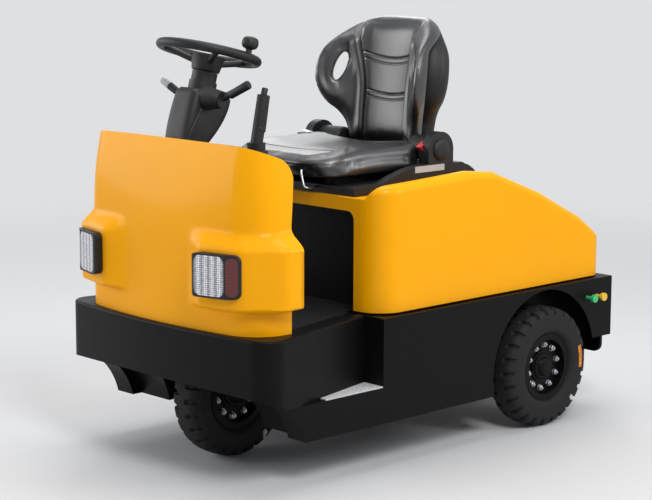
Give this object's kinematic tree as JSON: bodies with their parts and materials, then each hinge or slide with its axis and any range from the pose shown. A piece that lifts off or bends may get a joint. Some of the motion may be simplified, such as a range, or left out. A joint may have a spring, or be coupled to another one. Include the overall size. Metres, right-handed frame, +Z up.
{
  "type": "airport tow tractor",
  "caption": "Compact seated electric tow tractor with a steered front wheel, yellow cowl and tilting hood, bucket seat, black bumper and a rear tow jaw with several levels.",
  "frame": {"origin": "on the ground below the middle of the overall box", "axes": "+X to the vehicle's left, -Y to its front, +Z up"},
  "size_m": [1.01, 1.8576, 1.402],
  "materials": {
    "black_paint": "satin",
    "yellow_shell": "gloss",
    "black_plastic": "matte",
    "black_vinyl": "satin",
    "floor_rubber": "matte",
    "tyre_rubber": "matte",
    "step_aluminium": "satin",
    "cast_iron_black": "satin",
    "clear_lens": "gloss",
    "red_lens": "gloss",
    "battery_case": "matte",
    "green_button": "gloss",
    "yellow_button": "gloss",
    "red_plastic": "gloss"
  },
  "bodies": {
    "chassis": {"side_plate_left": "black_paint", "side_plate_right": "black_paint", "frame_rails": "black_paint", "belly_plate": "black_paint", "rear_plate": "black_paint", "bumper": "black_paint", "floor_box": "black_paint", "floor_plate": "black_paint", "floor_mat": "floor_rubber", "steps": "step_aluminium", "rear_axle": "cast_iron_black", "drive_motor": "cast_iron_black", "battery": "battery_case", "seat_front_panel": "black_plastic", "cowl": "yellow_shell", "headlamp_housings": "black_plastic", "headlamp_lenses": "clear_lens", "marker_lenses": "red_lens", "dash_panel": "black_plastic", "column_cover": "black_plastic", "steering_column": "black_plastic", "column_stalks": "black_plastic", "parking_brake": "black_plastic", "pedals": "black_plastic", "tow_jaw": "cast_iron_black", "tail_lamps": "red_lens", "inching_buttons_green": "green_button", "inching_buttons_yellow": "yellow_button"},
    "hood": {"hood": "yellow_shell", "seat_base": "black_plastic", "seat_rails": "black_paint", "seat_cushion": "black_vinyl", "seat_back": "black_vinyl", "seat_shell": "black_plastic", "recliner_covers": "black_plastic", "belt_buckle": "red_plastic", "belt_retractor": "black_plastic"},
    "knuckle": {"steer_knuckle": "cast_iron_black"},
    "front_wheel": {"front_rim": "black_paint", "front_tyre": "tyre_rubber"},
    "rear_wheel_left": {"rear_rim_left": "black_paint", "rear_tyre_left": "tyre_rubber"},
    "rear_wheel_right": {"rear_rim_right": "black_paint", "rear_tyre_right": "tyre_rubber"},
    "steering_wheel": {"steering_wheel": "black_plastic"}
  },
  "joints": [
    {"name": "front_steer", "type": "hinge", "parent": "chassis", "child": "knuckle", "pos_m": [0, -0.567, 0.2075], "axis": [0, 0, 1], "range_deg": [-75, 75]},
    {"name": "front_wheel_spin", "type": "hinge", "parent": "knuckle", "child": "front_wheel", "pos_m": [0, -0.567, 0.2075], "axis": [1, 0, 0], "continuous": true},
    {"name": "rear_left_spin", "type": "hinge", "parent": "chassis", "child": "rear_wheel_left", "pos_m": [0.432, 0.463, 0.2075], "axis": [1, 0, 0], "continuous": true},
    {"name": "rear_right_spin", "type": "hinge", "parent": "chassis", "child": "rear_wheel_right", "pos_m": [-0.432, 0.463, 0.2075], "axis": [1, 0, 0], "continuous": true},
    {"name": "steering_wheel_turn", "type": "hinge", "parent": "chassis", "child": "steering_wheel", "pos_m": [0, -0.65, 1.308], "axis": [0, 0.2588, 0.9659], "range_deg": [-450, 450]},
    {"name": "hood_tilt", "type": "hinge", "parent": "chassis", "child": "hood", "pos_m": [0, 0.823, 0.497], "axis": [-1, 0, 0], "range_deg": [0, 50]}
  ],
  "couplings": [
    {"joint": "steering_wheel_turn", "follows": "front_steer", "ratio": 6}
  ]
}
